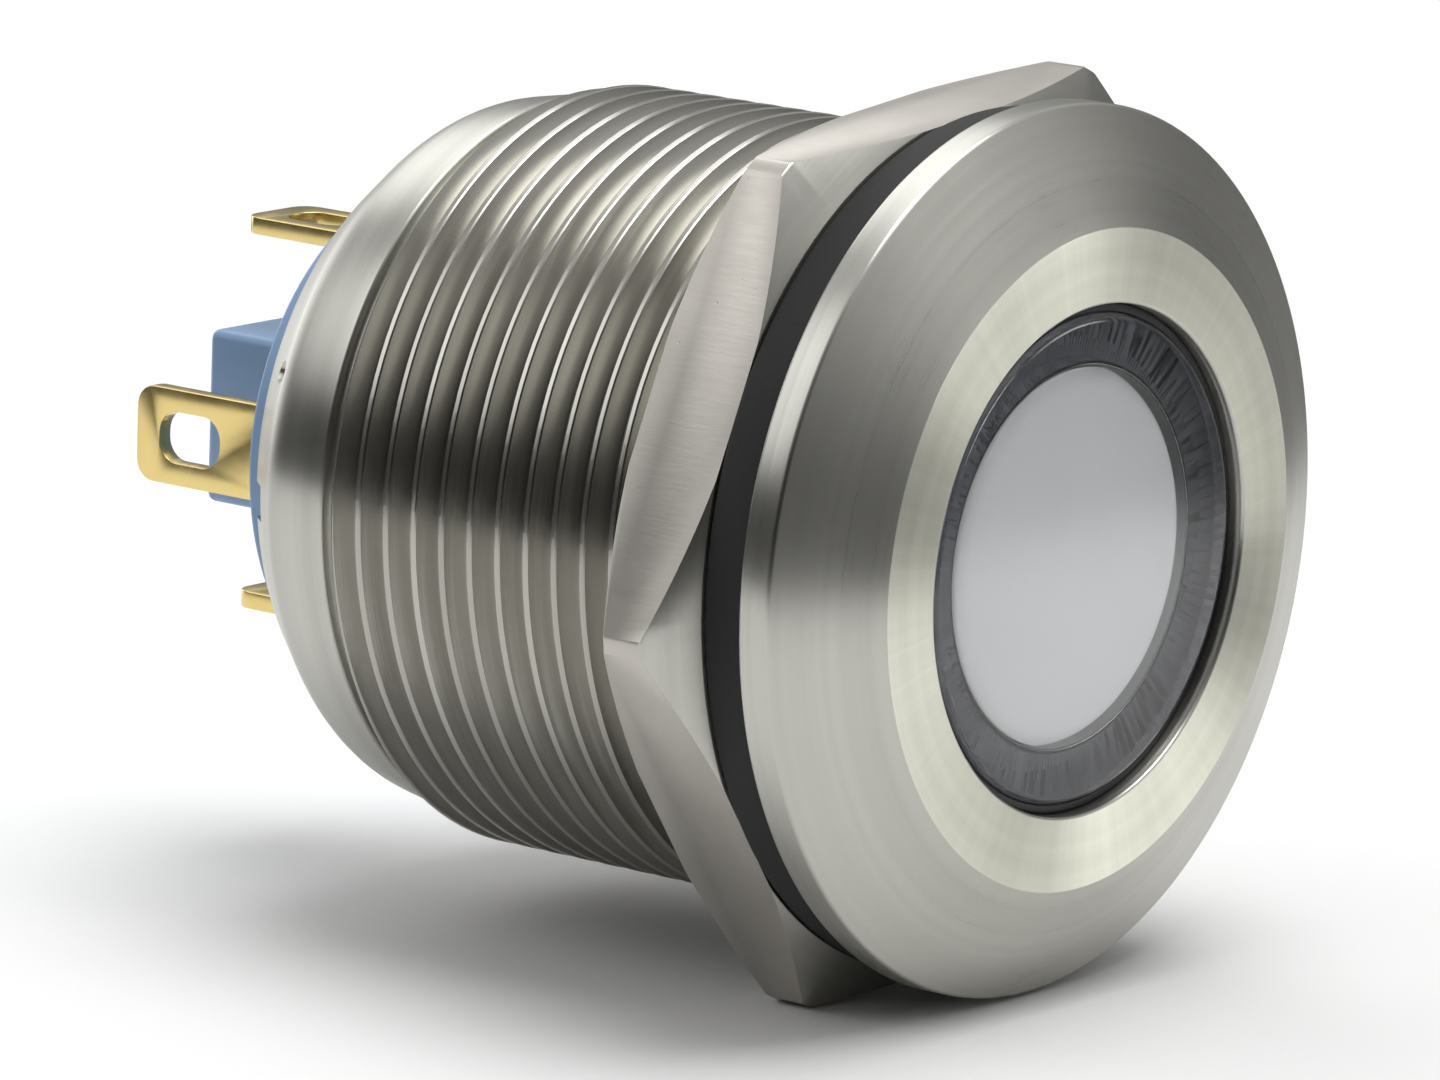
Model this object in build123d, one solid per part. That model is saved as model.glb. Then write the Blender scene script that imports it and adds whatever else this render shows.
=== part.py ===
"""Panel pilot light for a 22 mm hole: stainless housing, nut, lens, boards and solder lugs.

Millimetres. The lamp's axis is Y and the front faces -Y. +Z is up. The origin is on the axis, on the
rear face of the panel gasket, where the front of the panel comes to lie.
"""

import os
from math import ceil, cos, radians, tan

from build123d import *

# Clearances
RUNNING = 0.05  # radial, between the nut and the barrel
SLIP = 0.1  # radial, between pieces that are slid together
SNUG = 0.02  # between a rubber piece and what it is squeezed against

# Housing
BARREL_R = 11.0  # major radius of the M22x1 thread
THREAD_PITCH = 1.0
THREAD_DEPTH = 0.61
THREAD_CREST = 0.125  # width of the flat along each crest
THREAD_ANGLE = 60.0  # between the flanks, degrees
THREAD_SINK = 0.04  # of the thread's foot into the barrel's core
THREAD_START = 0.61  # a crest on the +X side, from the photograph
THREAD_COLLAR = 0.4  # plain barrel behind the gasket's rear face
THREAD_RELIEF = 0.2  # from the collar to the thread's run-in
THREAD_END_R = 10.6  # of the cone that ends the thread at the rear
BARREL_LENGTH = 14.4  # from the gasket's rear face to the end of the thread
HEAD_OVERHANG = 1.5  # of the head over the barrel
WINDOW_R = 7.15
RING_WIDTH = 2.1  # of the flat front ring round the window
BEVEL_LENGTH = 1.55
RIM_LENGTH = 1.0
RIM_EDGE = 0.12
LIP_THICKNESS = 1.3  # of the front wall that holds the lens
LIP_OVERLAP = 0.55  # of the front wall over the bore
GROOVE_WIDTH = 0.35
GROOVE_DEPTH = 0.65
SHOULDER_STEP = 0.4  # down from the barrel
SHOULDER_LENGTH = 4.1
REAR_WALL = 0.75  # of the housing at its rear edge
SHOULDER_EDGE = 0.6
NOTCH_WIDTH = 1.05
NOTCH_DEPTH = 0.4
NOTCH_TURN = 93.4  # degrees from +Z towards -X

# Panel gasket and nut
GASKET_SETBACK = 0.1  # inside the head's rim
GASKET_THICKNESS = 1.5
GASKET_EDGE = 0.12
NUT_SETBACK = 0.5  # of the flats, inside the head's rim: 24 mm across the flats
NUT_THICKNESS = 3.0
NUT_FACE_MARGIN = 0.15  # of the round flat face past the middle of each flat
NUT_CHAMFER = 29.0  # degrees
NUT_CORNER_TRIM = 0.13  # taken off each sharp corner
NUT_LEAD_IN = 0.3
NUT_TURN = 5.6  # of the middle of a flat, degrees from +Z towards -X, from the photograph

# Lens, its seal and the diffuser
LENS_RECESS = 0.25
LENS_WALL = 0.9
LENS_FLANGE = 1.0
LENS_EDGE = 0.25
SEAL_WALL = 0.26
SEAL_FLANGE = 0.4
CLEAR_RING = 1.8  # from the window's edge to the diffuser
DIFFUSER_THICKNESS = 1.5
DIFFUSER_EDGE = 0.6

# Carrier, reflector and boards
CARRIER_WALL = 0.6
REFLECTOR_LENGTH = 5.7
REFLECTOR_RIM = 0.4
LED_BOARD_THICKNESS = 1.0
LED_SIZE = 1.6
LED_HEIGHT = 0.75
LED_PITCH = 3.0
BOARD_GAP = 6.0  # between the two boards
DRIVER_BOARD_THICKNESS = 1.2
PIN_SIZE = 0.64
PIN_PITCH = 2.54
PIN_TAIL = 0.6
PIN_ROW_Z = -3.4
RECTIFIER_SIZE = (4.6, 2.4, 3.6)
RECTIFIER_EDGE = 0.3
RESISTOR_SIZE = (1.6, 0.6, 3.2)
RESISTOR_GAP = 0.4  # beside the rectifier

# Terminal base and its seal
BASE_DISC_SETBACK = 0.35  # inside the housing's rear edge
BASE_DISC_THICKNESS = 0.9
BASE_DISC_EDGE = 0.2
BASE_FLOOR = 3.4  # of the plug behind its hollow
BASE_WALL = 1.1
BLOCK_SIZE = 5.1
BLOCK_LENGTH = 6.3
BLOCK_EDGE = 0.25
SEAL_CORD_R = 0.55
SEAL_GROOVE_WIDTH = 1.5
SEAL_GROOVE_FRONT = 0.9  # from the hollow's floor to the groove

# Solder lugs
LUG_RADIUS = 5.55  # from the axis to the lug's middle plane
LUG_WIDTH = 2.8
LUG_THICKNESS = 0.5
LUG_LENGTH = 6.1
LUG_CORNER = 0.5
LUG_HOLE_LENGTH = 2.3
LUG_HOLE_WIDTH = 1.5
LUG_HOLE_FROM_TIP = 2.0
STEM_WIDTH = 1.5
STEM_THICKNESS = 0.4
STEM_TAIL = 0.5  # past the driver board
LUG_TURNS = {"terminal_top": 0.0, "terminal_side": -90.0, "terminal_bottom": 180.0}

# Radii that follow from the sizes
head_r = BARREL_R + HEAD_OVERHANG
ring_r = WINDOW_R + RING_WIDTH
bore_r = WINDOW_R + LIP_OVERLAP
inner_r = bore_r - SLIP  # of all that slides into the bore
thread_root_r = BARREL_R - THREAD_DEPTH
groove_r = BARREL_R - GROOVE_DEPTH
shoulder_front_r = BARREL_R - SHOULDER_STEP
shoulder_rear_r = bore_r + REAR_WALL
gasket_r = head_r - GASKET_SETBACK
nut_flat_r = head_r - NUT_SETBACK
diffuser_r = WINDOW_R - CLEAR_RING
board_r = inner_r - CARRIER_WALL - SLIP
base_disc_r = shoulder_rear_r - BASE_DISC_SETBACK

# Places along the axis that follow from the sizes
rim_rear = -GASKET_THICKNESS
rim_front = rim_rear - RIM_LENGTH
front = rim_front - BEVEL_LENGTH
lip_rear = front + LIP_THICKNESS
shoulder_front = BARREL_LENGTH + GROOVE_WIDTH
housing_rear = shoulder_front + SHOULDER_LENGTH
lens_front = front + LENS_RECESS
lens_shelf = lip_rear + SEAL_FLANGE
lens_rear = lens_shelf + LENS_FLANGE
led_board_front = lens_rear + REFLECTOR_LENGTH
led_board_rear = led_board_front + LED_BOARD_THICKNESS
driver_front = led_board_rear + BOARD_GAP
driver_rear = driver_front + DRIVER_BOARD_THICKNESS
base_rear = housing_rear + BASE_DISC_THICKNESS
base_floor = housing_rear - BASE_FLOOR


def turned(points):
    """A solid turned about Y from (radius, y) points."""
    return revolve(make_face(Polyline(points, close=True)), axis=Axis.Y)


def ring(outer_r, inner_r, y_front, y_rear):
    return turned([(inner_r, y_front), (outer_r, y_front), (outer_r, y_rear), (inner_r, y_rear)])


def disc(radius, y_front, y_rear):
    return turned([(0, y_front), (radius, y_front), (radius, y_rear), (0, y_rear)])


def bar(width, y_front, y_rear, height, x=0.0, z=0.0):
    """A rectangular bar along Y, centred on (x, z)."""
    return Pos(x, (y_front + y_rear) / 2, z) * Box(width, y_rear - y_front, height)


def edges_at(shape, y, radius):
    """The circular edges of this radius in the plane at this y."""
    circles = shape.edges().filter_by(GeomType.CIRCLE)
    return circles.filter_by(lambda e: abs(e.radius - radius) < 1e-4 and abs(e.center().Y - y) < 1e-4)


def make_thread():
    """The barrel's thread: one section swept along a right-handed helix, cut back to a cone at both ends."""
    turns = ceil(BARREL_LENGTH / THREAD_PITCH) + 2
    helix = Helix(pitch=THREAD_PITCH, height=turns * THREAD_PITCH, radius=BARREL_R)
    foot = THREAD_DEPTH + THREAD_SINK
    crest = THREAD_CREST / 2
    base = crest + foot * tan(radians(THREAD_ANGLE / 2))
    across = Plane(origin=helix @ 0, x_dir=(1, 0, 0), z_dir=helix % 0)
    section = across * make_face(Polyline([(-foot, -base), (0, -crest), (0, crest), (-foot, base)], close=True))
    ridge = sweep(section, path=helix, is_frenet=True)
    ridge = Pos(0, THREAD_START - THREAD_PITCH, 0) * Rot(-90, 0, 0) * ridge
    run_in = THREAD_COLLAR + THREAD_RELIEF
    clear_r = BARREL_R + THREAD_DEPTH
    inside_r = thread_root_r - 2 * THREAD_SINK
    envelope = turned(
        [
            (inside_r, run_in),
            (thread_root_r, run_in),
            (clear_r, run_in + clear_r - thread_root_r),
            (clear_r, BARREL_LENGTH - clear_r + THREAD_END_R),
            (THREAD_END_R, BARREL_LENGTH),
            (inside_r, BARREL_LENGTH),
        ]
    )
    return ridge & envelope


def make_housing():
    body = turned(
        [
            (WINDOW_R, front),
            (ring_r, front),
            (head_r, rim_front),
            (head_r, rim_rear),
            (BARREL_R, rim_rear),
            (BARREL_R, THREAD_COLLAR),
            (thread_root_r, THREAD_COLLAR),
            (thread_root_r, BARREL_LENGTH),
            (groove_r, BARREL_LENGTH),
            (groove_r, shoulder_front),
            (shoulder_front_r, shoulder_front),
            (shoulder_rear_r, housing_rear),
            (bore_r, housing_rear),
            (bore_r, lip_rear),
            (WINDOW_R, lip_rear),
        ]
    )
    body = fillet(edges_at(body, rim_front, head_r), RIM_EDGE)
    body = fillet(edges_at(body, rim_rear, head_r), RIM_EDGE)
    body = fillet(edges_at(body, housing_rear, shoulder_rear_r), SHOULDER_EDGE)
    body = chamfer(edges_at(body, shoulder_front, shoulder_front_r), RIM_EDGE)
    middle_r = (bore_r + shoulder_rear_r) / 2
    notch_height = shoulder_rear_r - bore_r + 2 * SHOULDER_EDGE
    notch = Pos(0, housing_rear, middle_r) * Box(NOTCH_WIDTH, 2 * NOTCH_DEPTH, notch_height)
    return body - Rot(0, -NOTCH_TURN, 0) * notch + make_thread()


def make_panel_gasket():
    gasket = ring(gasket_r, BARREL_R + SLIP, rim_rear, 0)
    return chamfer(edges_at(gasket, rim_rear, gasket_r) + edges_at(gasket, 0, gasket_r), GASKET_EDGE)


def make_hex_nut():
    thread_r = BARREL_R + RUNNING
    across_plane = Plane(origin=(0, 0, 0), x_dir=(1, 0, 0), z_dir=(0, 1, 0))
    hexagon = RegularPolygon(nut_flat_r, 6, major_radius=False)
    prism = Rot(0, -NUT_TURN, 0) * extrude(across_plane * hexagon, amount=NUT_THICKNESS)
    corner_r = nut_flat_r / cos(radians(30)) - NUT_CORNER_TRIM
    face_r = nut_flat_r + NUT_FACE_MARGIN
    drop = (corner_r - face_r) * tan(radians(NUT_CHAMFER))
    blank = turned(
        [
            (thread_r + NUT_LEAD_IN, 0),
            (face_r, 0),
            (corner_r, drop),
            (corner_r, NUT_THICKNESS - drop),
            (face_r, NUT_THICKNESS),
            (thread_r + NUT_LEAD_IN, NUT_THICKNESS),
            (thread_r, NUT_THICKNESS - NUT_LEAD_IN),
            (thread_r, NUT_LEAD_IN),
        ]
    )
    return prism & blank


def make_lens_seal():
    outer_r = WINDOW_R - SNUG
    nose_r = outer_r - SEAL_WALL
    return turned(
        [
            (nose_r, lens_front + LENS_EDGE),
            (outer_r, lens_front + LENS_EDGE),
            (outer_r, lip_rear),
            (inner_r, lip_rear),
            (inner_r, lens_shelf),
            (nose_r, lens_shelf),
        ]
    )


def make_lens():
    nose_r = WINDOW_R - SNUG - SEAL_WALL - SNUG
    pocket_r = diffuser_r + SLIP
    pocket_floor = lens_front + LENS_WALL
    lens = turned(
        [
            (0, lens_front),
            (nose_r, lens_front),
            (nose_r, lens_shelf),
            (inner_r, lens_shelf),
            (inner_r, lens_rear),
            (pocket_r, lens_rear),
            (pocket_r, pocket_floor),
            (0, pocket_floor),
        ]
    )
    return fillet(edges_at(lens, lens_front, nose_r), LENS_EDGE)


def make_diffuser():
    plug = disc(diffuser_r, lens_rear - DIFFUSER_THICKNESS, lens_rear)
    return fillet(edges_at(plug, lens_rear - DIFFUSER_THICKNESS, diffuser_r), DIFFUSER_EDGE)


def make_carrier():
    seat_r = inner_r - CARRIER_WALL
    return turned(
        [
            (diffuser_r + SLIP, lens_rear),
            (inner_r, lens_rear),
            (inner_r, driver_front),
            (seat_r, driver_front),
            (seat_r, led_board_front),
            (diffuser_r + SLIP, led_board_front),
        ]
    )


def make_reflector():
    led_corner = (LED_PITCH + LED_SIZE) / 2 / cos(radians(45))
    return turned(
        [
            (diffuser_r - REFLECTOR_RIM, lens_rear),
            (diffuser_r, lens_rear),
            (diffuser_r, led_board_front),
            (led_corner + SLIP, led_board_front),
            (led_corner + SLIP, led_board_front - LED_HEIGHT),
        ]
    )


def make_led_board():
    return disc(board_r, led_board_front, led_board_rear)


def make_leds():
    half = LED_PITCH / 2
    places = [(-half, half), (half, half), (-half, -half), (half, -half)]
    leds = {}
    for number, (x, z) in enumerate(places, start=1):
        package = bar(LED_SIZE, led_board_front - LED_HEIGHT, led_board_front, LED_SIZE, x, z)
        window = Pos(x, led_board_front - LED_HEIGHT, z) * Rot(90, 0, 0) * Cylinder(LED_SIZE * 0.36, LED_HEIGHT * 0.5)
        leds[f"led_{number}"] = package - window
    return leds


def pin_places():
    return [(-PIN_PITCH, PIN_ROW_Z), (0, PIN_ROW_Z), (PIN_PITCH, PIN_ROW_Z)]


def make_board_pins():
    pins = [bar(PIN_SIZE, led_board_rear, driver_rear + PIN_TAIL, PIN_SIZE, x, z) for x, z in pin_places()]
    return Compound(children=pins)


def turn_lug(shape, name):
    """Turn what is drawn at twelve o'clock to the lug's own place."""
    return Rot(0, LUG_TURNS[name], 0) * shape


def make_driver_board():
    board = disc(inner_r, driver_front, driver_rear)
    for x, z in pin_places():
        hole = PIN_SIZE + 2 * SLIP
        board -= bar(hole, driver_front, driver_rear, hole, x, z)
    for name in LUG_TURNS:
        slot = bar(STEM_WIDTH + 2 * SLIP, driver_front, driver_rear, STEM_THICKNESS + 2 * SLIP, 0, LUG_RADIUS)
        board -= turn_lug(slot, name)
    return board


def make_rectifier():
    width, height, depth = RECTIFIER_SIZE
    package = bar(width, driver_front - height, driver_front, depth)
    return chamfer(package.faces().sort_by(Axis.Y)[0].edges(), RECTIFIER_EDGE)


def make_resistor(side):
    width, height, depth = RESISTOR_SIZE
    offset = (RECTIFIER_SIZE[0] + width) / 2 + RESISTOR_GAP
    return bar(width, driver_front - height, driver_front, depth, side * offset)


def make_terminal_base():
    groove_front = base_floor + SEAL_GROOVE_FRONT
    groove_rear = groove_front + SEAL_GROOVE_WIDTH
    seal_seat_r = bore_r - 2 * (SEAL_CORD_R + SNUG)
    base = turned(
        [
            (0, base_floor),
            (inner_r - BASE_WALL, base_floor),
            (inner_r - BASE_WALL, driver_rear),
            (inner_r, driver_rear),
            (inner_r, groove_front),
            (seal_seat_r, groove_front),
            (seal_seat_r, groove_rear),
            (inner_r, groove_rear),
            (inner_r, housing_rear),
            (base_disc_r, housing_rear),
            (base_disc_r, base_rear),
            (0, base_rear),
        ]
    )
    base = fillet(edges_at(base, base_rear, base_disc_r), BASE_DISC_EDGE)
    block = bar(BLOCK_SIZE, base_rear - BASE_DISC_THICKNESS, base_rear + BLOCK_LENGTH, BLOCK_SIZE)
    block = fillet(block.edges().filter_by(Axis.Y), BLOCK_EDGE)
    base += chamfer(block.faces().sort_by(Axis.Y)[-1].edges(), BLOCK_EDGE / 2)
    for name in LUG_TURNS:
        slot = bar(STEM_WIDTH + 2 * SNUG, base_floor, base_rear, STEM_THICKNESS + 2 * SNUG, 0, LUG_RADIUS)
        base -= turn_lug(slot, name)
    return base


def make_base_seal():
    middle = base_floor + SEAL_GROOVE_FRONT + SEAL_GROOVE_WIDTH / 2
    cord = Pos(bore_r - SNUG - SEAL_CORD_R, middle) * Circle(SEAL_CORD_R)
    return revolve(cord, axis=Axis.Y)


def make_terminal(name):
    """A solder lug: a wide tab outside the base, and a thinner stem down to the driver board."""
    tip = base_rear + LUG_LENGTH
    tab = bar(LUG_WIDTH, base_rear, tip, LUG_THICKNESS, 0, LUG_RADIUS)
    tab = chamfer(tab.edges().filter_by(Axis.Z).sort_by(Axis.Y)[-2:], LUG_CORNER)
    hole_plane = Plane(origin=(0, tip - LUG_HOLE_FROM_TIP, LUG_RADIUS), x_dir=(0, 1, 0), z_dir=(0, 0, 1))
    hole = hole_plane * RectangleRounded(LUG_HOLE_LENGTH, LUG_HOLE_WIDTH, LUG_HOLE_WIDTH * 0.45)
    tab -= extrude(hole, amount=LUG_THICKNESS, both=True)
    stem = bar(STEM_WIDTH, driver_front - STEM_TAIL, base_rear, STEM_THICKNESS, 0, LUG_RADIUS)
    return turn_lug(tab + stem, name)


def build():
    parts = {
        "housing": make_housing(),
        "panel_gasket": make_panel_gasket(),
        "hex_nut": make_hex_nut(),
        "lens_seal": make_lens_seal(),
        "lens": make_lens(),
        "diffuser": make_diffuser(),
        "carrier": make_carrier(),
        "reflector": make_reflector(),
        "led_board": make_led_board(),
        **make_leds(),
        "board_pins": make_board_pins(),
        "driver_board": make_driver_board(),
        "rectifier": make_rectifier(),
        "resistor_1": make_resistor(-1),
        "resistor_2": make_resistor(1),
        "terminal_base": make_terminal_base(),
        "base_seal": make_base_seal(),
    }
    for name in LUG_TURNS:
        parts[name] = make_terminal(name)
    return parts


os.makedirs("parts", exist_ok=True)
for node, shape in build().items():
    export_step(shape, f"parts/{node}.step")
    box = shape.bounding_box()
    print(node, "volume %.2f" % shape.volume, "y %.2f to %.2f" % (box.min.Y, box.max.Y))
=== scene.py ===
from math import cos, hypot, pi, radians, sin, tan

import bpy
from mathutils import Matrix, Vector


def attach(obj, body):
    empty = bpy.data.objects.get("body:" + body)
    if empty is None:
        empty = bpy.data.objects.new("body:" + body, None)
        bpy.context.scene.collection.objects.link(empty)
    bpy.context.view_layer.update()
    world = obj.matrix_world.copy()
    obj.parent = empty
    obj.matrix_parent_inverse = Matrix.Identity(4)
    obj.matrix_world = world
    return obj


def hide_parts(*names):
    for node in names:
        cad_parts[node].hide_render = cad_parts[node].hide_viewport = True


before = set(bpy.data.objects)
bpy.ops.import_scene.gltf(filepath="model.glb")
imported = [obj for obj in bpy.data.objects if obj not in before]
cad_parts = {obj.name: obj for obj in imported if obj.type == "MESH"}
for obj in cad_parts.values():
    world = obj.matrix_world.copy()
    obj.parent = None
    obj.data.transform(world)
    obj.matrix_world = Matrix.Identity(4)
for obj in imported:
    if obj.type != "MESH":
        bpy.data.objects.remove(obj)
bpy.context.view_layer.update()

MM = 0.001
TAU = 2 * pi
WELD = 0.0005 * MM

# Sizes in millimetres. The lamp's axis is Y, its front faces -Y and +Z is up. Radii end in _R, other places are y,
# and a turn is in degrees from +Z towards -X. These are the solids' sizes
BARREL_R = 11.0
COLLAR_END = 0.4
BARREL_END = 14.4
HEAD_R = 12.5
RING_R = 9.25
WINDOW_R = 7.15
BORE_R = 7.7
INNER_R = 7.6
FRONT = -4.05
LIP_REAR = -2.75
RIM_FRONT = -2.5
RIM_REAR = -1.5
GROOVE_R = 10.35
SHOULDER_FRONT = 14.75
SHOULDER_FRONT_R = 10.6
LENS_FRONT = -3.8
LENS_SHELF = -2.35
LENS_REAR = -1.35
LENS_WALL = 0.9
LENS_R = 6.85
LENS_POCKET_R = 5.45
SEAL_FRONT = LENS_FRONT + 0.2
SEAL_BORE_R = 6.87
SEAL_R = 7.13
DIFFUSER_THICKNESS = 1.5
DIFFUSER_R = 5.35
GASKET_BORE_R = 11.1
DRIVER_FRONT = 11.35
DRIVER_REAR = 12.55
BASE_FLOOR = 15.45
BASE_REAR = 19.75
HOLLOW_R = 6.5
SEAL_GROOVE_FRONT = 16.35
SEAL_GROOVE_REAR = 17.85
SEAL_GROOVE_R = 6.56
BLOCK_END = 26.05
BLOCK_HALF = 2.55
LUG_TIP = 25.85
LUG_R = 5.55  # to the lug's middle plane
LUG_HALF = 1.4
LUG_THICKNESS = 0.5
HOLE_FROM_TIP = 2.0
HOLE_HALF_LENGTH = 1.15
HOLE_HALF_WIDTH = 0.75
STEM_HALF_WIDTH = 0.75
STEM_THICKNESS = 0.4
STEM_TAIL = 0.5
LUG_TURNS = {"terminal_top": 0, "terminal_side": 90, "terminal_bottom": 180}
NUT_THICKNESS = 3.0
NUT_FLAT_R = 12.0
NUT_FACE_R = 12.15
NUT_CORNER_R = 13.72
NUT_CHAMFER = 29
NUT_TURN = 5.6  # of the middle of a flat
THREAD_PITCH = 1.0
THREAD_ROOT_R = 10.39
THREAD_PHASE = 0.36  # of the crest on top, in pitches
THREAD_START = 0.6
THREAD_FULL = 1.21
THREAD_FADE = 14.0
THREAD_END_R = 10.6
NOTCH_HALF = 0.525
NOTCH_TURN = 93.4

# Forms that only this scene has, or that follow the photograph more closely than the solids
SHOULDER_SIDE = (10.2, 17.0, 1.9)  # radius, y and rounding of the shoulder's bulge
SHOULDER_EDGE = (8.75, 18.75, 0.4)
HOUSING_REAR = SHOULDER_EDGE[1]
NOTCH_FLOOR = 18.15
NOTCH_OUTER_R = 9.85
PUNCH_R = 0.5
PUNCH_Y = 17.75
PUNCH_CENTRE_R = 10.02
PUNCH_TURN = 70.2
GASKET_R = 12.13
PLUG_REAR = 20.1
NUT_THREAD_PLAY = 0.06
THREAD_CORE_R = 9.4  # inside the barrel's wall, so that the thread grows out of it
NUT_CORE_R = 10.3
NUT_LEAD_R = 11.35
NUT_LEAD = 0.5


# Drawing and turning


def deselect_all():
    if bpy.context.object and bpy.context.object.mode != "OBJECT":
        bpy.ops.object.mode_set(mode="OBJECT")
    bpy.ops.object.select_all(action="DESELECT")


def pick(piece):
    deselect_all()
    piece.select_set(True)
    bpy.context.view_layer.objects.active = piece


def rounded(corners, segments=5):
    """Points in millimetres for a profile whose corners (a, b) or (a, b, radius) are rounded off."""
    points = []
    count = len(corners)
    for i, corner in enumerate(corners):
        here = Vector(corner[:2])
        radius = corner[2] if len(corner) > 2 else 0
        if not radius:
            points.append(tuple(here))
            continue
        back = (Vector(corners[i - 1][:2]) - here).normalized()
        ahead = (Vector(corners[(i + 1) % count][:2]) - here).normalized()
        half = back.angle(ahead) / 2
        centre = here + (back + ahead).normalized() * (radius / sin(half))
        start = here + back * (radius / tan(half)) - centre
        sweep = start.angle_signed(here + ahead * (radius / tan(half)) - centre)
        for k in range(segments + 1):
            arm = start.copy()
            arm.rotate(Matrix.Rotation(-sweep * k / segments, 2))
            points.append(tuple(centre + arm))
    return points


def draw(name, points, place):
    """An open line drawn point by point from one merged corner. Place turns two numbers into (x, y, z) in mm."""
    deselect_all()
    bpy.ops.mesh.primitive_plane_add(size=MM, location=(0, 0, 0))
    piece = bpy.context.object
    piece.name = piece.data.name = name
    bpy.ops.object.mode_set(mode="EDIT")
    bpy.ops.mesh.select_all(action="SELECT")
    bpy.ops.mesh.merge(type="CENTER")
    spots = [Vector(place(*point)) * MM for point in points]
    bpy.ops.transform.translate(value=spots[0])
    for before, after in zip(spots, spots[1:]):
        bpy.ops.mesh.extrude_vertices_move(TRANSFORM_OT_translate={"value": after - before})
    bpy.ops.mesh.select_all(action="SELECT")
    return piece


def profile_place(radius, y):
    return (0, y, radius)


def tidy_mesh(outwards=True):
    bpy.ops.mesh.select_all(action="SELECT")
    bpy.ops.mesh.remove_doubles(threshold=WELD)
    bpy.ops.mesh.dissolve_degenerate(threshold=WELD)
    bpy.ops.mesh.select_all(action="SELECT")
    if outwards:
        bpy.ops.mesh.normals_make_consistent(inside=False)


def turn(name, points, steps=144):
    """A turned piece: the closed profile of (radius, y) points, spun about the lamp's axis."""
    piece = draw(name, points + [points[0]], profile_place)
    bpy.ops.mesh.remove_doubles(threshold=WELD)
    bpy.ops.mesh.select_all(action="SELECT")
    bpy.ops.mesh.spin(steps=steps, angle=TAU, center=(0, 0, 0), axis=(0, 1, 0))
    tidy_mesh()
    bpy.ops.object.mode_set(mode="OBJECT")
    return piece


def plate(name, line, low, high):
    """A flat piece: the closed line of (x, y) points, filled at height low and drawn up to height high."""
    piece = draw(name, line + [line[0]], lambda x, y: (x, y, low))
    bpy.ops.mesh.remove_doubles(threshold=WELD)
    bpy.ops.mesh.edge_face_add()
    bpy.ops.mesh.extrude_region_move(TRANSFORM_OT_translate={"value": (0, 0, (high - low) * MM)})
    tidy_mesh()
    bpy.ops.object.mode_set(mode="OBJECT")
    return piece


def apply_modifier(piece, kind, **settings):
    pick(piece)
    modifier = piece.modifiers.new(kind.title(), kind)
    for key, value in settings.items():
        setattr(modifier, key, value)
    bpy.ops.object.modifier_apply(modifier=modifier.name)


def cut(piece, tool, how="DIFFERENCE"):
    """Boolean of a piece with a tool, which is used up."""
    apply_modifier(piece, "BOOLEAN", object=tool, operation=how, solver="EXACT")
    bpy.data.objects.remove(tool)
    return piece


def smooth(piece, angle=30):
    pick(piece)
    bpy.ops.object.shade_smooth_by_angle(angle=radians(angle))


def thread_rod(name, turns, grow=0.0, steps=120):
    """A closed rod with a right-handed metric thread from y = -1: one pitch's profile, wound by a Screw modifier."""
    crest, root = BARREL_R + grow, THREAD_ROOT_R + grow
    # Radius and share of the pitch, from root to root
    pitch = [
        (root, 0.0), (root + 0.012, 0.06), (root + 0.075, 0.13), (crest - 0.1, 0.36), (crest - 0.03, 0.39),
        (crest, 0.44), (crest, 0.56), (crest - 0.03, 0.61), (crest - 0.1, 0.64), (root + 0.075, 0.87),
        (root + 0.012, 0.94), (root, 1.0),
    ]
    y_start = THREAD_PHASE - 2.5 * THREAD_PITCH
    piece = draw(name, [(r, y_start + y * THREAD_PITCH) for r, y in pitch], profile_place)
    bpy.ops.object.mode_set(mode="OBJECT")
    apply_modifier(
        piece, "SCREW", axis="Y", angle=TAU, screw_offset=THREAD_PITCH * MM, iterations=turns + 3,
        steps=steps, render_steps=steps, use_merge_vertices=True, merge_threshold=WELD,
    )
    bpy.ops.object.mode_set(mode="EDIT")
    tidy_mesh(outwards=False)
    for y, away in ((-1.0, -1), (-1.0 + turns * THREAD_PITCH, 1)):
        bpy.ops.mesh.select_all(action="SELECT")
        bpy.ops.mesh.bisect(
            plane_co=(0, y * MM, 0), plane_no=(0, away, 0), use_fill=True, clear_outer=True, threshold=0.2 * WELD
        )
    tidy_mesh()
    bpy.ops.object.mode_set(mode="OBJECT")
    return piece


def block(name, low, high, bevel=0.0, segments=3):
    """A rectangular block between two corners in millimetres, its edges bevelled."""
    deselect_all()
    low, high = Vector(low), Vector(high)
    bpy.ops.mesh.primitive_cube_add(size=1, location=(0, 0, 0))
    piece = bpy.context.object
    piece.name = piece.data.name = name
    bpy.ops.object.mode_set(mode="EDIT")
    bpy.ops.transform.resize(value=(high - low) * MM)
    bpy.ops.transform.translate(value=(high + low) / 2 * MM)
    if bevel:
        bpy.ops.mesh.bevel(offset=bevel * MM, segments=segments, affect="EDGES")
    bpy.ops.object.mode_set(mode="OBJECT")
    return piece


def turn_about_axis(piece, degrees):
    """Turn a finished piece about the lamp's axis, from +Z towards -X."""
    pick(piece)
    bpy.ops.object.mode_set(mode="EDIT")
    bpy.ops.mesh.select_all(action="SELECT")
    bpy.ops.transform.rotate(value=radians(degrees), orient_axis="Y", center_override=(0, 0, 0))
    bpy.ops.object.mode_set(mode="OBJECT")


# Materials


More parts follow.
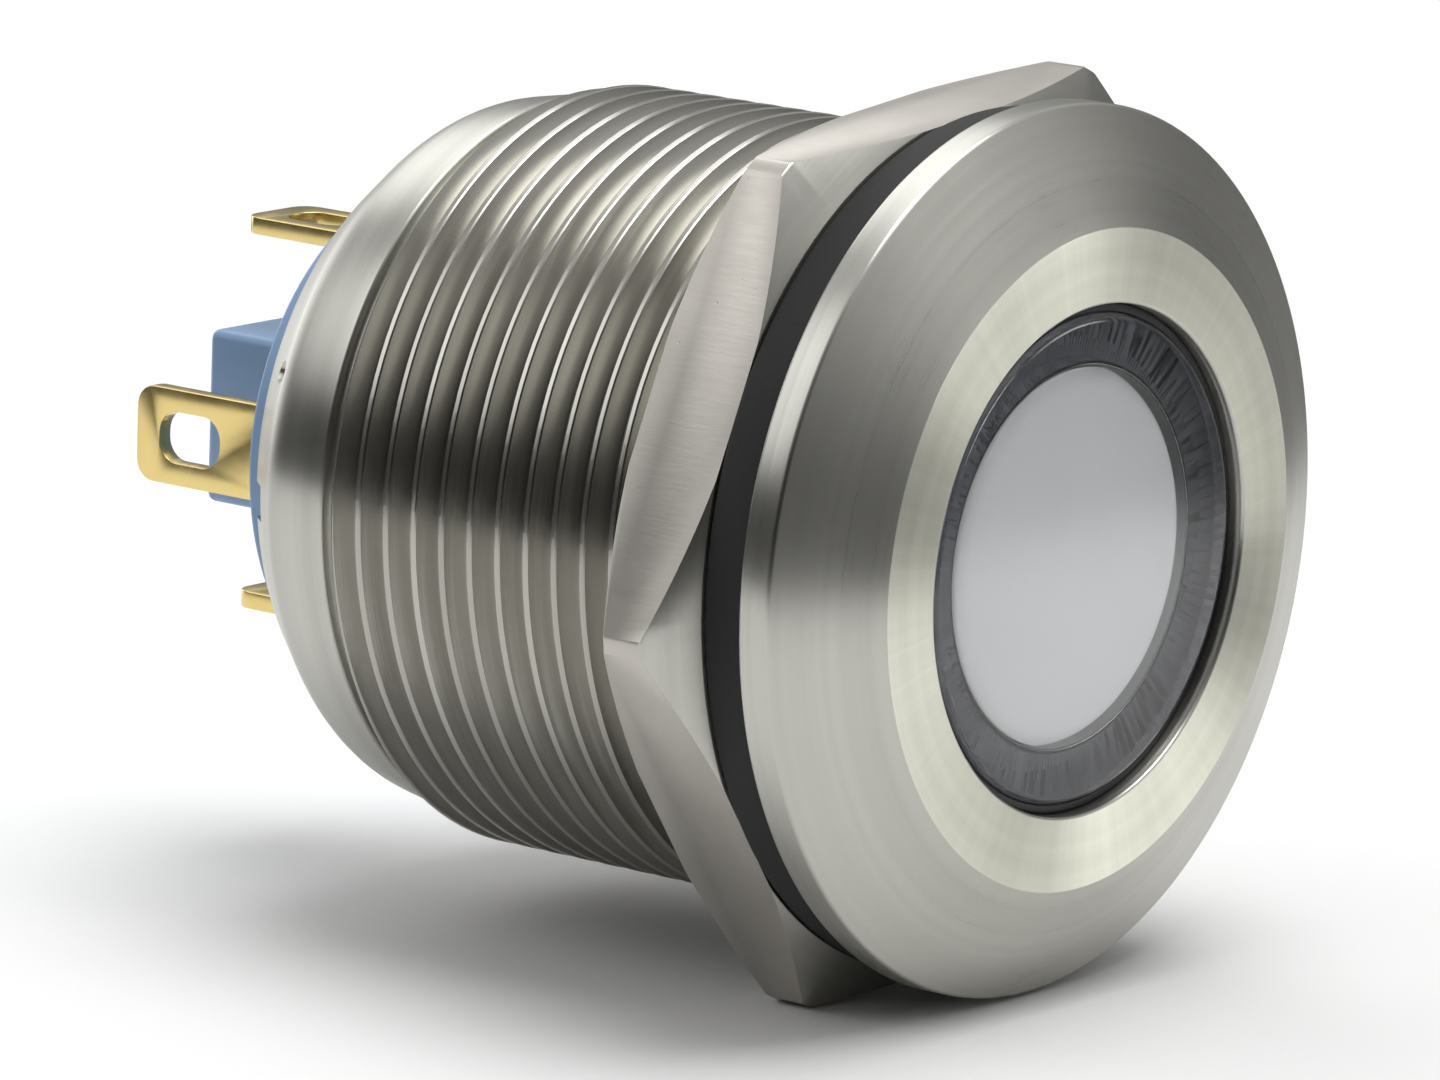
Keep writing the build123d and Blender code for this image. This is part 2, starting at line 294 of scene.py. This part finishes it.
def linear(hex_colour):
    """An sRGB hex colour as a linear one with alpha."""
    parts = [int(hex_colour[i : i + 2], 16) / 255 for i in (1, 3, 5)]
    return tuple(c / 12.92 if c <= 0.04045 else ((c + 0.055) / 1.055) ** 2.4 for c in parts) + (1.0,)


def add(tree, kind, settings=None, **inputs):
    """A node with its settings, its inputs set or linked. An input is named with _ for a space, or as in_0."""
    node = tree.nodes.new("ShaderNode" + kind)
    for key, value in (settings or {}).items():
        setattr(node, key, value)
    for key, value in inputs.items():
        socket = node.inputs[int(key[3:])] if key.startswith("in_") else node.inputs[key.replace("_", " ")]
        if isinstance(value, bpy.types.NodeSocket):
            tree.links.new(value, socket)
        else:
            socket.default_value = value
    return node


def new_material(name):
    material = bpy.data.materials.new(name)
    material.use_nodes = True
    tree = material.node_tree
    tree.nodes.clear()
    return material, tree


def object_mm(tree):
    """Object coordinates in millimetres."""
    where = add(tree, "TexCoord")
    return add(tree, "Mapping", Vector=where.outputs["Object"], Scale=(1000, 1000, 1000)).outputs["Vector"]


def radius_and_height(tree, mm):
    """(radius, y, 0) in millimetres: the same all the way round, as the marks of a lathe tool are."""
    flat = add(tree, "VectorMath", {"operation": "MULTIPLY"}, in_0=mm, in_1=(1, 0, 1))
    radius = add(tree, "VectorMath", {"operation": "LENGTH"}, in_0=flat.outputs["Vector"])
    split = add(tree, "SeparateXYZ", Vector=mm)
    return add(tree, "CombineXYZ", X=radius.outputs["Value"], Y=split.outputs["Y"]).outputs["Vector"]


def finish_material(tree, material, **inputs):
    shader = add(tree, "BsdfPrincipled", **inputs)
    output = add(tree, "OutputMaterial")
    tree.links.new(shader.outputs["BSDF"], output.inputs["Surface"])
    return material


def turned_stainless(name, light, dark, roughness, anisotropy, groove, depth, painted_rays=0.0):
    """Stainless steel off the lathe. Fine rings round the axis, groove mm apart, drag reflections out across them."""
    material, tree = new_material(name)
    mm = object_mm(tree)
    rings = radius_and_height(tree, mm)
    fine = add(tree, "TexNoise", Vector=rings, Scale=1 / groove, Detail=4.0, Roughness=0.75).outputs["Fac"]
    broad = add(tree, "TexNoise", Vector=rings, Scale=1.4, Detail=2.0, Roughness=0.6).outputs["Fac"]
    smudge = add(tree, "TexNoise", Vector=mm, Scale=0.3, Detail=3.0).outputs["Fac"]
    flat = add(tree, "VectorMath", {"operation": "MULTIPLY"}, in_0=mm, in_1=(1, 0, 1)).outputs["Vector"]
    towards = add(tree, "VectorMath", {"operation": "NORMALIZE"}, in_0=flat).outputs["Vector"]
    # Painted highlight: radial streaks of lighter and darker colour running out from the middle, as rays on a faced
    # ring
    painted_ray_pattern = add(tree, "TexNoise", Vector=towards, Scale=16.0, Detail=4.0, Roughness=0.7).outputs["Fac"]
    ray = add(tree, "MapRange", Value=painted_ray_pattern, From_Min=0.3, From_Max=0.7, To_Min=-painted_rays, To_Max=painted_rays)
    shade = add(tree, "Math", {"operation": "ADD"}, in_0=broad, in_1=ray.outputs["Result"]).outputs["Value"]
    colour = add(tree, "Mix", {"data_type": "RGBA"}, in_0=shade, in_6=linear(dark), in_7=linear(light))
    worn = add(tree, "MapRange", Value=smudge, To_Min=roughness - 0.05, To_Max=roughness + 0.05).outputs["Result"]
    cut_marks = add(tree, "MapRange", Value=fine, To_Min=-0.08, To_Max=0.08).outputs["Result"]
    rough = add(tree, "Math", {"operation": "ADD"}, in_0=worn, in_1=cut_marks).outputs["Value"]
    tangent = add(tree, "Tangent", {"direction_type": "RADIAL", "axis": "Y"}).outputs["Tangent"]
    grooves = add(tree, "Bump", Height=fine, Distance=depth * MM, Strength=1.0).outputs["Normal"]
    return finish_material(
        tree, material, Base_Color=colour.outputs[2], Metallic=1.0, Roughness=rough,
        Anisotropic=anisotropy, Anisotropic_Rotation=0.25, Tangent=tangent, Normal=grooves,
    )


def drawn_stainless():
    """The nut: bright-drawn hexagon bar, tumbled. A broad sheen with a faint grain along the bar and small nicks."""
    material, tree = new_material("drawn_stainless")
    mm = object_mm(tree)
    along = add(tree, "Mapping", Vector=mm, Scale=(1, 0.1, 1)).outputs["Vector"]
    grain = add(tree, "TexNoise", Vector=along, Scale=9.0, Detail=4.0, Roughness=0.65).outputs["Fac"]
    cloud = add(tree, "TexNoise", Vector=mm, Scale=0.5, Detail=3.0).outputs["Fac"]
    nicks = add(tree, "TexVoronoi", {"feature": "F1"}, Vector=mm, Scale=1.6, Randomness=1.0).outputs["Distance"]
    nick = add(tree, "MapRange", Value=nicks, From_Min=0.0, From_Max=0.07).outputs["Result"]
    colour = add(tree, "Mix", {"data_type": "RGBA"}, in_0=cloud, in_6=linear("#b6b2ab"), in_7=linear("#c8c4bd"))
    rough = add(tree, "MapRange", Value=grain, To_Min=0.33, To_Max=0.46).outputs["Result"]
    dents = add(tree, "Bump", Height=nick, Distance=0.01 * MM, Strength=0.5).outputs["Normal"]
    skin = add(tree, "Bump", Height=grain, Distance=0.003 * MM, Strength=1.0, Normal=dents).outputs["Normal"]
    return finish_material(
        tree, material, Base_Color=colour.outputs[2], Metallic=1.0, Roughness=rough, Normal=skin
    )


def moulded(name, light, dark, roughness, grain, depth, **more):
    """A moulded piece: its colour swings a little in the flow of the melt, over the mould's fine eroded skin."""
    material, tree = new_material(name)
    mm = object_mm(tree)
    skin = add(tree, "TexNoise", Vector=mm, Scale=1 / grain, Detail=4.0, Roughness=0.6).outputs["Fac"]
    flow = add(tree, "TexNoise", Vector=mm, Scale=0.45, Detail=3.0, Distortion=0.6).outputs["Fac"]
    colour = add(tree, "Mix", {"data_type": "RGBA"}, in_0=flow, in_6=linear(dark), in_7=linear(light))
    rough = add(tree, "MapRange", Value=skin, To_Min=roughness - 0.06, To_Max=roughness + 0.06).outputs["Result"]
    bumps = add(tree, "Bump", Height=skin, Distance=depth * MM, Strength=1.0).outputs["Normal"]
    return finish_material(tree, material, Base_Color=colour.outputs[2], Roughness=rough, Normal=bumps, **more)


def plated(name, light, dark, roughness, wave):
    """Plated sheet metal: a warm or grey sheen, rolled slightly wavy, with dull and bright cloudy patches."""
    material, tree = new_material(name)
    mm = object_mm(tree)
    waves = add(tree, "TexNoise", Vector=mm, Scale=1 / wave, Detail=3.0, Roughness=0.55).outputs["Fac"]
    cloud = add(tree, "TexNoise", Vector=mm, Scale=1.1, Detail=4.0).outputs["Fac"]
    colour = add(tree, "Mix", {"data_type": "RGBA"}, in_0=cloud, in_6=linear(dark), in_7=linear(light))
    rough = add(tree, "MapRange", Value=cloud, To_Min=roughness - 0.08, To_Max=roughness + 0.08).outputs["Result"]
    bumps = add(tree, "Bump", Height=waves, Distance=0.002 * MM, Strength=1.0).outputs["Normal"]
    return finish_material(
        tree, material, Base_Color=colour.outputs[2], Metallic=1.0, Roughness=rough, Normal=bumps
    )


# The bevel, rim and shoulder: turned, then brushed with fine emery, so highlights run out across the rings
turned_steel = turned_stainless(
    "turned_stainless", "#c8c7c0", "#acaba4", roughness=0.3, anisotropy=0.8, groove=0.16, depth=0.0022
)
# The flat front ring: faced last. Its colour, lighter and warmer than the turned steel's, is painted highlight, and
# rays of highlight from the middle are painted into its colour
ring_steel = turned_stainless(
    "faced_stainless_painted_highlight", "#efefe1", "#d8d8c8", roughness=0.38, anisotropy=0.98, groove=0.1, depth=0.001, painted_rays=0.22
)
# The thread: cut with a single point, so its crests are bright and its flanks dark
thread_steel = turned_stainless(
    "threaded_stainless", "#c4c2bb", "#918f88", roughness=0.22, anisotropy=0.55, groove=0.14, depth=0.003
)
flat_steel = drawn_stainless()
# Nitrile rubber: near black and dull, with the mould's powdery skin
rubber = moulded("moulded_nitrile_rubber", "#161618", "#0c0c0e", roughness=0.7, grain=0.12, depth=0.004)
# Silicone rubber: black, a little glossier where it is pinched round the lens
seal_rubber = moulded("moulded_silicone_seal", "#141416", "#0c0c0e", roughness=0.5, grain=0.1, depth=0.002)
# Clear polycarbonate: glassy, bends what is behind it, with a faint orange-peel skin
clear = moulded(
    "clear_polycarbonate", "#fbfcfd", "#f6f8fa", roughness=0.08, grain=0.9, depth=0.0004,
    Transmission_Weight=1.0, IOR=1.585,
)
# Opal acrylic: milk white, and light goes a little way in, which softens its edge. The faint glow is painted light:
# it stands for the daylight that the lens gathers onto it
opal = moulded(
    "opal_acrylic_painted_glow", "#fdfdfc", "#f6f6f6", roughness=0.4, grain=0.5, depth=0.001,
    Subsurface_Weight=0.3, Subsurface_Radius=(1.0, 0.95, 0.9), Subsurface_Scale=0.8 * MM,
    Emission_Color=(1, 1, 1, 1), Emission_Strength=0.17,
)
# Grey polycarbonate behind the lens: matt, so it reads as an even grey band
carrier_plastic = moulded("grey_polycarbonate", "#b8bac1", "#a1a3ab", roughness=0.6, grain=0.15, depth=0.002)
# White ABS: bright and half matt
white_plastic = moulded("white_abs", "#e9e9e4", "#dddcd6", roughness=0.5, grain=0.2, depth=0.002)
# Blue glass-filled polyamide: satin and faintly mottled
blue_plastic = moulded("blue_polyamide", "#84a1c5", "#7190b4", roughness=0.42, grain=0.14, depth=0.004)
# Gold plate over stamped brass: warm and bright, in dull and bright cloudy patches
gold = plated("gold_plated_brass", "#edd898", "#dfc57c", roughness=0.24, wave=0.5)
# Tin plate on square brass pins: pale grey and dull
tin = plated("tinned_brass", "#cfd0cf", "#bcbdbc", roughness=0.34, wave=0.3)
# Glass epoxy board under green lacquer: glossy skin over a faint weave
board_green = moulded("lacquered_board", "#1f6b43", "#175636", roughness=0.35, grain=0.3, depth=0.004)
# Epoxy moulding compound: near black and matt
component_black = moulded("epoxy_package", "#222224", "#19191b", roughness=0.55, grain=0.1, depth=0.003)
# White package with a pale yellow window: bright, half matt
led_white = moulded("led_package", "#efe9cf", "#e6dfbd", roughness=0.4, grain=0.2, depth=0.002)


def finish_piece(piece, body, slot, replaced, *materials):
    """Hand a finished piece to the frame: its shading, materials, body and the node it stands for; slot is not used."""
    smooth(piece)
    piece.data.materials.clear()
    for material in materials:
        piece.data.materials.append(material)
    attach(piece, body)
    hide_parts(replaced)
    return piece


def paint_faces(piece, index, chosen):
    """Give the faces that chosen(centre in mm, normal) picks the material of this index."""
    for face in piece.data.polygons:
        if chosen(face.center / MM, face.normal):
            face.material_index = index


# Housing


def make_housing():
    """The turned body with its screw thread, the locating notch in the rear edge and the punched mark."""
    body = turn(
        "turned_housing",
        rounded([
            (WINDOW_R, FRONT, 0.1), (RING_R, FRONT, 0.12), (HEAD_R, RIM_FRONT, 0.16),
            (HEAD_R, RIM_REAR, 0.12), (BARREL_R, RIM_REAR), (BARREL_R, COLLAR_END), (GROOVE_R, COLLAR_END),
            (GROOVE_R, SHOULDER_FRONT), (SHOULDER_FRONT_R, SHOULDER_FRONT, 0.1), SHOULDER_SIDE, SHOULDER_EDGE,
            (BORE_R, HOUSING_REAR, 0.05), (BORE_R, LIP_REAR), (WINDOW_R, LIP_REAR),
        ]),
        steps=192,
    )
    crest_r = BARREL_R - 0.001
    envelope = turn(
        "thread_envelope",
        [
            (THREAD_CORE_R, THREAD_START), (THREAD_ROOT_R, THREAD_START), (crest_r, THREAD_FULL),
            (crest_r, THREAD_FADE), (THREAD_END_R, BARREL_END), (THREAD_CORE_R, BARREL_END),
        ],
        steps=120,
    )
    thread = cut(thread_rod("thread", 17), envelope, "INTERSECT")
    body = cut(body, thread, "UNION")
    low, high = (-NOTCH_HALF, NOTCH_FLOOR, BORE_R - 0.4), (NOTCH_HALF, HOUSING_REAR + 0.5, NOTCH_OUTER_R)
    notch = block("notch", low, high, 0.05)
    turn_about_axis(notch, NOTCH_TURN)
    cut(body, notch)
    deselect_all()
    bpy.ops.mesh.primitive_uv_sphere_add(
        segments=24, ring_count=16, radius=PUNCH_R * MM, location=(0, PUNCH_Y * MM, PUNCH_CENTRE_R * MM)
    )
    punch = bpy.context.object
    bpy.ops.object.transform_apply(location=True, rotation=False, scale=False)
    turn_about_axis(punch, PUNCH_TURN)
    cut(body, punch)
    return body


housing = finish_piece(make_housing(), "lamp", "stainless", "housing", turned_steel, ring_steel, thread_steel)
paint_faces(housing, 1, lambda c, n: n.y < -0.98 and c.y < FRONT + 0.05)
paint_faces(housing, 2, lambda c, n: COLLAR_END < c.y < BARREL_END and hypot(c.x, c.z) > 10)


# Nut


def make_nut():
    """Hexagon bar cut to length, its corners turned to a chamfer on both faces, threaded and its edges eased."""
    deselect_all()
    bpy.ops.mesh.primitive_circle_add(
        vertices=6, radius=NUT_FLAT_R / cos(pi / 6) * MM, fill_type="NGON", location=(0, 0, 0), rotation=(pi / 2, 0, 0)
    )
    nut = bpy.context.object
    nut.name = nut.data.name = "hexagon_nut"
    bpy.ops.object.transform_apply(location=False, rotation=True, scale=False)
    bpy.ops.object.mode_set(mode="EDIT")
    bpy.ops.mesh.select_all(action="SELECT")
    bpy.ops.mesh.extrude_region_move(TRANSFORM_OT_translate={"value": (0, NUT_THICKNESS * MM, 0)})
    tidy_mesh()
    bpy.ops.object.mode_set(mode="OBJECT")
    turn_about_axis(nut, NUT_TURN + 30)
    drop = (NUT_CORNER_R - NUT_FACE_R) * tan(radians(NUT_CHAMFER))
    blank = turn(
        "nut_blank",
        rounded([
            (NUT_LEAD_R, 0, 0.03), (NUT_FACE_R, 0, 0.06), (NUT_CORNER_R, drop, 0.1),
            (NUT_CORNER_R, NUT_THICKNESS - drop, 0.1), (NUT_FACE_R, NUT_THICKNESS, 0.06),
            (NUT_LEAD_R, NUT_THICKNESS, 0.03), (NUT_CORE_R, NUT_THICKNESS - NUT_LEAD), (NUT_CORE_R, NUT_LEAD),
        ]),
        steps=144,
    )
    cut(nut, blank, "INTERSECT")
    cut(nut, thread_rod("nut_thread", 6, grow=NUT_THREAD_PLAY))
    apply_modifier(nut, "BEVEL", width=0.05 * MM, segments=2, limit_method="ANGLE", angle_limit=radians(50))
    return nut


nut = finish_piece(make_nut(), "nut", "stainless", "hex_nut", flat_steel, turned_steel, thread_steel)
paint_faces(nut, 1, lambda c, n: abs(n.y) > 0.3 and hypot(c.x, c.z) > 11.3)
paint_faces(nut, 2, lambda c, n: hypot(c.x, c.z) < 11.25)


# Gasket, seal, lens and diffuser

gasket = turn(
    "panel_gasket_ring",
    rounded([(GASKET_BORE_R, RIM_REAR, 0.1), (GASKET_R, RIM_REAR, 0.2), (GASKET_R, 0, 0.2), (GASKET_BORE_R, 0, 0.1)]),
)
finish_piece(gasket, "lamp", "black_rubber", "panel_gasket", rubber)

seal = turn(
    "window_seal",
    rounded([
        (SEAL_BORE_R, SEAL_FRONT, 0.05), (SEAL_R, SEAL_FRONT, 0.1), (SEAL_R, LIP_REAR), (INNER_R, LIP_REAR, 0.05),
        (INNER_R, LENS_SHELF), (SEAL_BORE_R, LENS_SHELF),
    ]),
)
finish_piece(seal, "lamp", "black_rubber", "lens_seal", seal_rubber)

lens = turn(
    "window_lens",
    rounded([
        (0, LENS_FRONT), (LENS_R, LENS_FRONT, 0.25), (LENS_R, LENS_SHELF, 0.05), (INNER_R, LENS_SHELF, 0.05),
        (INNER_R, LENS_REAR, 0.05), (LENS_POCKET_R, LENS_REAR), (LENS_POCKET_R, LENS_FRONT + LENS_WALL, 0.2),
        (0, LENS_FRONT + LENS_WALL),
    ]),
)
finish_piece(lens, "lamp", "clear_plastic", "lens", clear)

diffuser_front = LENS_REAR - DIFFUSER_THICKNESS
diffuser = turn(
    "opal_diffuser",
    rounded([(0, diffuser_front), (DIFFUSER_R, diffuser_front, 0.7), (DIFFUSER_R, LENS_REAR, 0.05), (0, LENS_REAR)], 8),
)
finish_piece(diffuser, "lamp", "diffuser_white", "diffuser", opal)


# Terminal base


def make_base():
    """The hollow plug with its O-ring groove, the square block behind it and a slot for each lug."""
    base = turn(
        "terminal_base_plug",
        rounded([
            (0, BASE_FLOOR), (HOLLOW_R, BASE_FLOOR), (HOLLOW_R, DRIVER_REAR), (INNER_R, DRIVER_REAR),
            (INNER_R, SEAL_GROOVE_FRONT), (SEAL_GROOVE_R, SEAL_GROOVE_FRONT), (SEAL_GROOVE_R, SEAL_GROOVE_REAR),
            (INNER_R, SEAL_GROOVE_REAR), (INNER_R, PLUG_REAR, 0.2), (0, PLUG_REAR),
        ]),
        steps=128,
    )
    low, high = (-BLOCK_HALF, BASE_REAR - 0.4, -BLOCK_HALF), (BLOCK_HALF, BLOCK_END, BLOCK_HALF)
    cut(base, block("block", low, high, 0.28, 4), "UNION")
    half, above = STEM_HALF_WIDTH + 0.02, STEM_THICKNESS / 2 + 0.02
    for turned_by in LUG_TURNS.values():
        slot = block("slot", (-half, BASE_FLOOR - 1, LUG_R - above), (half, BASE_REAR + 1, LUG_R + above))
        turn_about_axis(slot, turned_by)
        cut(base, slot)
    return base


finish_piece(make_base(), "lamp", "base_blue", "terminal_base", blue_plastic)


# Solder lugs


def make_lug():
    """The top lug: its outline thickened, pierced with an oblong hole, set on its stem and its stamped edges eased."""
    outline = [(-LUG_HALF, BASE_REAR), (-LUG_HALF, LUG_TIP, 0.62), (LUG_HALF, LUG_TIP, 0.62), (LUG_HALF, BASE_REAR)]
    lug = plate("solder_lug", rounded(outline), LUG_R - LUG_THICKNESS / 2, LUG_R + LUG_THICKNESS / 2)
    near, far = LUG_TIP - HOLE_FROM_TIP - HOLE_HALF_LENGTH, LUG_TIP - HOLE_FROM_TIP + HOLE_HALF_LENGTH
    oblong = [(x, y, 0.66) for x, y in (
        (-HOLE_HALF_WIDTH, near), (-HOLE_HALF_WIDTH, far), (HOLE_HALF_WIDTH, far), (HOLE_HALF_WIDTH, near)
    )]
    cut(lug, plate("hole", rounded(oblong, 8), LUG_R - 1, LUG_R + 1))
    half, above = STEM_HALF_WIDTH, STEM_THICKNESS / 2
    low, high = (-half, DRIVER_FRONT - STEM_TAIL, LUG_R - above), (half, BASE_REAR + 0.3, LUG_R + above)
    cut(lug, block("stem", low, high), "UNION")
    apply_modifier(lug, "BEVEL", width=0.06 * MM, segments=3, limit_method="ANGLE", angle_limit=radians(50))
    return lug


first_lug = make_lug()
lugs = {"terminal_top": first_lug}
for node in ("terminal_side", "terminal_bottom"):
    lugs[node] = first_lug.copy()
    lugs[node].data = first_lug.data.copy()
    bpy.context.collection.objects.link(lugs[node])
for node, turned_by in LUG_TURNS.items():
    lugs[node].name = lugs[node].data.name = node.replace("terminal", "lug")
    turn_about_axis(lugs[node], turned_by)
    finish_piece(lugs[node], "lamp", "gold_plate", node, gold)


# Nodes that keep the solids' own meshes

for material, nodes in (
    (carrier_plastic, ("carrier",)),
    (white_plastic, ("reflector",)),
    (board_green, ("led_board", "driver_board")),
    (led_white, ("led_1", "led_2", "led_3", "led_4")),
    (tin, ("board_pins",)),
    (component_black, ("rectifier", "resistor_1", "resistor_2")),
    (rubber, ("base_seal",)),
):
    for node in nodes:
        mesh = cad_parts[node].data
        mesh.materials.clear()
        mesh.materials.append(material)


# Floor

FLOOR_Z = -12.62
FLOOR_R = 400.0
FADE_CENTRE = (-12, 22, FLOOR_Z)
FADE_FROM = 80.0
FADE_TO = 115.0

deselect_all()
bpy.ops.mesh.primitive_circle_add(vertices=96, radius=FLOOR_R * MM, fill_type="NGON", location=(0, 0, FLOOR_Z * MM))
floor = bpy.context.object
floor.name = "paper_floor"
bpy.ops.object.transform_apply(location=True, rotation=False, scale=False)
paper, tree = new_material("white_paper")
mm = object_mm(tree)
centred = add(tree, "VectorMath", {"operation": "SUBTRACT"}, in_0=mm, in_1=FADE_CENTRE).outputs["Vector"]
away = add(tree, "VectorMath", {"operation": "LENGTH"}, in_0=centred).outputs["Value"]
fade = add(
    tree, "MapRange", {"interpolation_type": "SMOOTHSTEP"}, Value=away, From_Min=FADE_FROM, From_Max=FADE_TO
).outputs["Result"]
fibres = add(tree, "TexNoise", Vector=mm, Scale=2.5, Detail=3.0).outputs["Fac"]
tooth = add(tree, "Bump", Height=fibres, Distance=0.01 * MM, Strength=1.0).outputs["Normal"]
# White paper: matt, with a faint tooth, faded out far from the lamp so that it ends without an edge
sheet = add(tree, "BsdfPrincipled", Base_Color=linear("#e6e6e6"), Roughness=0.7, Normal=tooth).outputs["BSDF"]
nothing = add(tree, "BsdfTransparent").outputs["BSDF"]
both = add(tree, "MixShader", in_0=fade, in_1=sheet, in_2=nothing).outputs["Shader"]
add(tree, "OutputMaterial", Surface=both)
floor.data.materials.append(paper)


# Studio light

# Each patch: how it acts, azimuth from the front towards +X, elevation, the angles within which it is full and
# outside which it is gone, and its strength there and here
LIGHT_PATCHES = (
    ("MULTIPLY", -52, 16, 26, 50, 1.0, 0.15),
    ("ADD", 60, 80, 12, 27, 0.0, 5.2),
    ("ADD", 49, 4, 2, 7, 0.0, 5.0),
    ("ADD", 33, 3, 2, 7, 0.0, 5.0),
    ("ADD", 22, 22, 15, 55, 0.0, 0.1),
    ("ADD", -137, 34, 10, 24, 0.0, 1.4),
    ("ADD", 150, 38, 10, 22, 0.0, 1.5),
    ("ADD", 166, 6, 8, 20, 0.0, 2.2),
    ("ADD", 110, 5, 20, 45, 0.0, 0.15),
)


def make_studio():
    """White to the camera. To the lamp: a soft dome over a dark horizon, a dark side by the camera, soft patches."""
    world = bpy.data.worlds.new("studio")
    bpy.context.scene.world = world
    world.use_nodes = True
    tree = world.node_tree
    tree.nodes.clear()
    soft = {"interpolation_type": "SMOOTHSTEP"}
    direction = add(tree, "TexCoord").outputs["Generated"]
    height = add(tree, "SeparateXYZ", Vector=direction).outputs["Z"]
    light = add(
        tree, "MapRange", soft, Value=height, From_Min=0.1, From_Max=0.75, To_Min=0.08, To_Max=0.65
    ).outputs["Result"]
    for how, azimuth, elevation, inner, outer, outside, inside in LIGHT_PATCHES:
        a, e = radians(azimuth), radians(elevation)
        towards = (sin(a) * cos(e), -cos(a) * cos(e), sin(e))
        along = add(tree, "VectorMath", {"operation": "DOT_PRODUCT"}, in_0=direction, in_1=towards)
        patch = add(
            tree, "MapRange", soft, Value=along.outputs["Value"],
            From_Min=cos(radians(outer)), From_Max=cos(radians(inner)), To_Min=outside, To_Max=inside,
        ).outputs["Result"]
        light = add(tree, "Math", {"operation": how}, in_0=light, in_1=patch).outputs["Value"]
    seen = add(tree, "LightPath").outputs["Is Camera Ray"]
    strength = add(tree, "Mix", {"data_type": "FLOAT"}, in_0=seen, in_2=light, in_3=1.0).outputs[0]
    background = add(tree, "Background", Color=(1, 1, 1, 1), Strength=strength)
    add(tree, "OutputWorld", Surface=background.outputs["Background"])


make_studio()


# Camera, from the photograph

CAMERA_LENS = 250.25
CAMERA_PLACE = (-0.218757, -0.161652, 0.055341)
CAMERA_RIGHT = (0.620257, -0.783593, 0.035547)
CAMERA_UP = (0.135651, 0.151789, 0.97906)
CAMERA_BACK = (-0.77258, -0.602447, 0.200443)

camera_data = bpy.data.cameras.new("camera")
camera_data.sensor_width = 36
camera_data.lens = CAMERA_LENS
camera_data.clip_start = 0.01
camera = bpy.data.objects.new("camera", camera_data)
bpy.context.scene.collection.objects.link(camera)
columns = (CAMERA_RIGHT, CAMERA_UP, CAMERA_BACK, CAMERA_PLACE)
camera.matrix_world = Matrix([[column[i] for column in columns] for i in range(3)] + [[0, 0, 0, 1]])
bpy.context.scene.camera = camera
bpy.context.scene.view_settings.view_transform = "Standard"

bpy.context.view_layer.update()
